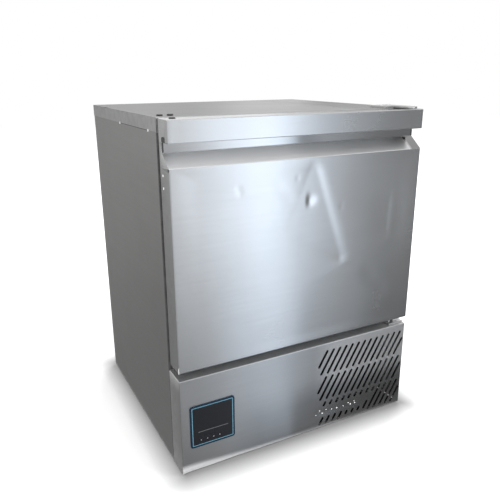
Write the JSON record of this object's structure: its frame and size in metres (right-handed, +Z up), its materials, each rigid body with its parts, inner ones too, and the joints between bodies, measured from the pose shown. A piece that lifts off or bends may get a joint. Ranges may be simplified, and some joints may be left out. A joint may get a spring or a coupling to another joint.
{
  "type": "undercounter refrigerator",
  "caption": "Stainless undercounter refrigerator with a right-hung door under a full-width grab handle, wire shelves, and a slotted lower panel with a controller.",
  "frame": {"origin": "middle of the floor under the cabinet: the bounding box's bottom centre", "axes": "+Z up, the door faces -Y, +X to the right seen from the front"},
  "size_m": [0.6256, 0.58, 0.7856],
  "materials": {
    "stainless": "satin",
    "galvanised": "satin",
    "zinc_plate": "satin",
    "bright_screw": "polished",
    "chrome_wire": "polished",
    "insulation": "matte",
    "seal": "matte",
    "grommet_rubber": "matte",
    "black_plastic": "satin",
    "white_plastic": "satin",
    "fascia_gloss": "gloss",
    "key_gloss": "gloss",
    "window_gloss": "gloss",
    "fins": "satin",
    "motor_steel": "satin",
    "compressor_black": "gloss",
    "copper": "satin"
  },
  "bodies": {
    "cabinet": {"worktop": "stainless", "side_panel_left": "stainless", "side_panel_right": "stainless", "front_frame": "stainless", "cabin_liner": "stainless", "lower_panel": "stainless", "rack_strips": "stainless", "shelf_slides": "stainless", "evaporator_cover": "stainless", "rear_panel": "galvanised", "bay_ceiling": "galvanised", "base_tray": "galvanised", "rear_guard": "galvanised", "condenser_shroud": "galvanised", "condenser_fan_bracket": "galvanised", "control_box": "galvanised", "hinge_plate_top": "zinc_plate", "hinge_plate_bottom": "zinc_plate", "hinge_pins": "zinc_plate", "hinge_screws": "bright_screw", "evaporator_fan_guard": "chrome_wire", "cabinet_foam": "insulation", "compressor_grommets": "grommet_rubber", "worktop_plugs": "black_plastic", "controller_housing": "black_plastic", "vaporising_tray": "black_plastic", "mains_gland": "black_plastic", "drip_tray": "white_plastic", "drain_tube": "white_plastic", "temperature_probe": "white_plastic", "controller_fascia": "fascia_gloss", "controller_display": "window_gloss", "condenser_coil": "fins", "evaporator_coil": "fins", "condenser_fan_motor": "motor_steel", "evaporator_fan_motor": "motor_steel", "compressor": "compressor_black", "filter_drier": "copper", "refrigerant_pipes": "copper"},
    "door": {"door_skin": "stainless", "handle_nosing": "stainless", "door_foam": "insulation", "door_liner": "stainless", "door_gasket": "seal", "door_bushes": "white_plastic", "door_closer": "motor_steel", "door_plug": "black_plastic", "door_rivets": "bright_screw"},
    "condenser_fan": {"condenser_fan_blade": "black_plastic"},
    "evaporator_fan": {"evaporator_fan_blade": "black_plastic"},
    "shelf_lower": {"shelf_lower": "chrome_wire"},
    "shelf_upper": {"shelf_upper": "chrome_wire"},
    "foot_front_left": {"foot_front_left": "black_plastic"},
    "foot_front_right": {"foot_front_right": "black_plastic"},
    "foot_rear_left": {"foot_rear_left": "black_plastic"},
    "foot_rear_right": {"foot_rear_right": "black_plastic"},
    "key_1": {"key_1": "key_gloss"},
    "key_2": {"key_2": "key_gloss"},
    "key_3": {"key_3": "key_gloss"},
    "key_4": {"key_4": "key_gloss"}
  },
  "joints": [
    {"name": "door_hinge", "type": "hinge", "parent": "cabinet", "child": "door", "pos_m": [0.292, -0.266, 0.5], "axis": [0, 0, 1], "range_deg": [0, 120], "stiffness_Nm_per_rad": 1.5, "springref_deg": -11.46},
    {"name": "condenser_fan_spin", "type": "hinge", "parent": "cabinet", "child": "condenser_fan", "pos_m": [0.167, -0.15, 0.13725], "axis": [0, 1, 0], "continuous": true},
    {"name": "evaporator_fan_spin", "type": "hinge", "parent": "cabinet", "child": "evaporator_fan", "pos_m": [0, 0.2, 0.655], "axis": [0, 1, 0], "continuous": true},
    {"name": "shelf_lower_slide", "type": "slide", "parent": "cabinet", "child": "shelf_lower", "axis": [0, -1, 0], "range_m": [0, 0.015]},
    {"name": "shelf_upper_slide", "type": "slide", "parent": "cabinet", "child": "shelf_upper", "axis": [0, -1, 0], "range_m": [0, 0.015]},
    {"name": "foot_front_left_turn", "type": "hinge", "parent": "cabinet", "child": "foot_front_left", "pos_m": [-0.282, -0.206, 0.02], "axis": [0, 0, 1], "continuous": true},
    {"name": "foot_front_right_turn", "type": "hinge", "parent": "cabinet", "child": "foot_front_right", "pos_m": [0.282, -0.206, 0.02], "axis": [0, 0, 1], "continuous": true},
    {"name": "foot_rear_left_turn", "type": "hinge", "parent": "cabinet", "child": "foot_rear_left", "pos_m": [-0.282, 0.23, 0.02], "axis": [0, 0, 1], "continuous": true},
    {"name": "foot_rear_right_turn", "type": "hinge", "parent": "cabinet", "child": "foot_rear_right", "pos_m": [0.282, 0.23, 0.02], "axis": [0, 0, 1], "continuous": true},
    {"name": "key_1_press", "type": "slide", "parent": "cabinet", "child": "key_1", "axis": [0, 1, 0], "range_m": [0, 0.0006], "stiffness_N_per_m": 800},
    {"name": "key_2_press", "type": "slide", "parent": "cabinet", "child": "key_2", "axis": [0, 1, 0], "range_m": [0, 0.0006], "stiffness_N_per_m": 800},
    {"name": "key_3_press", "type": "slide", "parent": "cabinet", "child": "key_3", "axis": [0, 1, 0], "range_m": [0, 0.0006], "stiffness_N_per_m": 800},
    {"name": "key_4_press", "type": "slide", "parent": "cabinet", "child": "key_4", "axis": [0, 1, 0], "range_m": [0, 0.0006], "stiffness_N_per_m": 800}
  ]
}
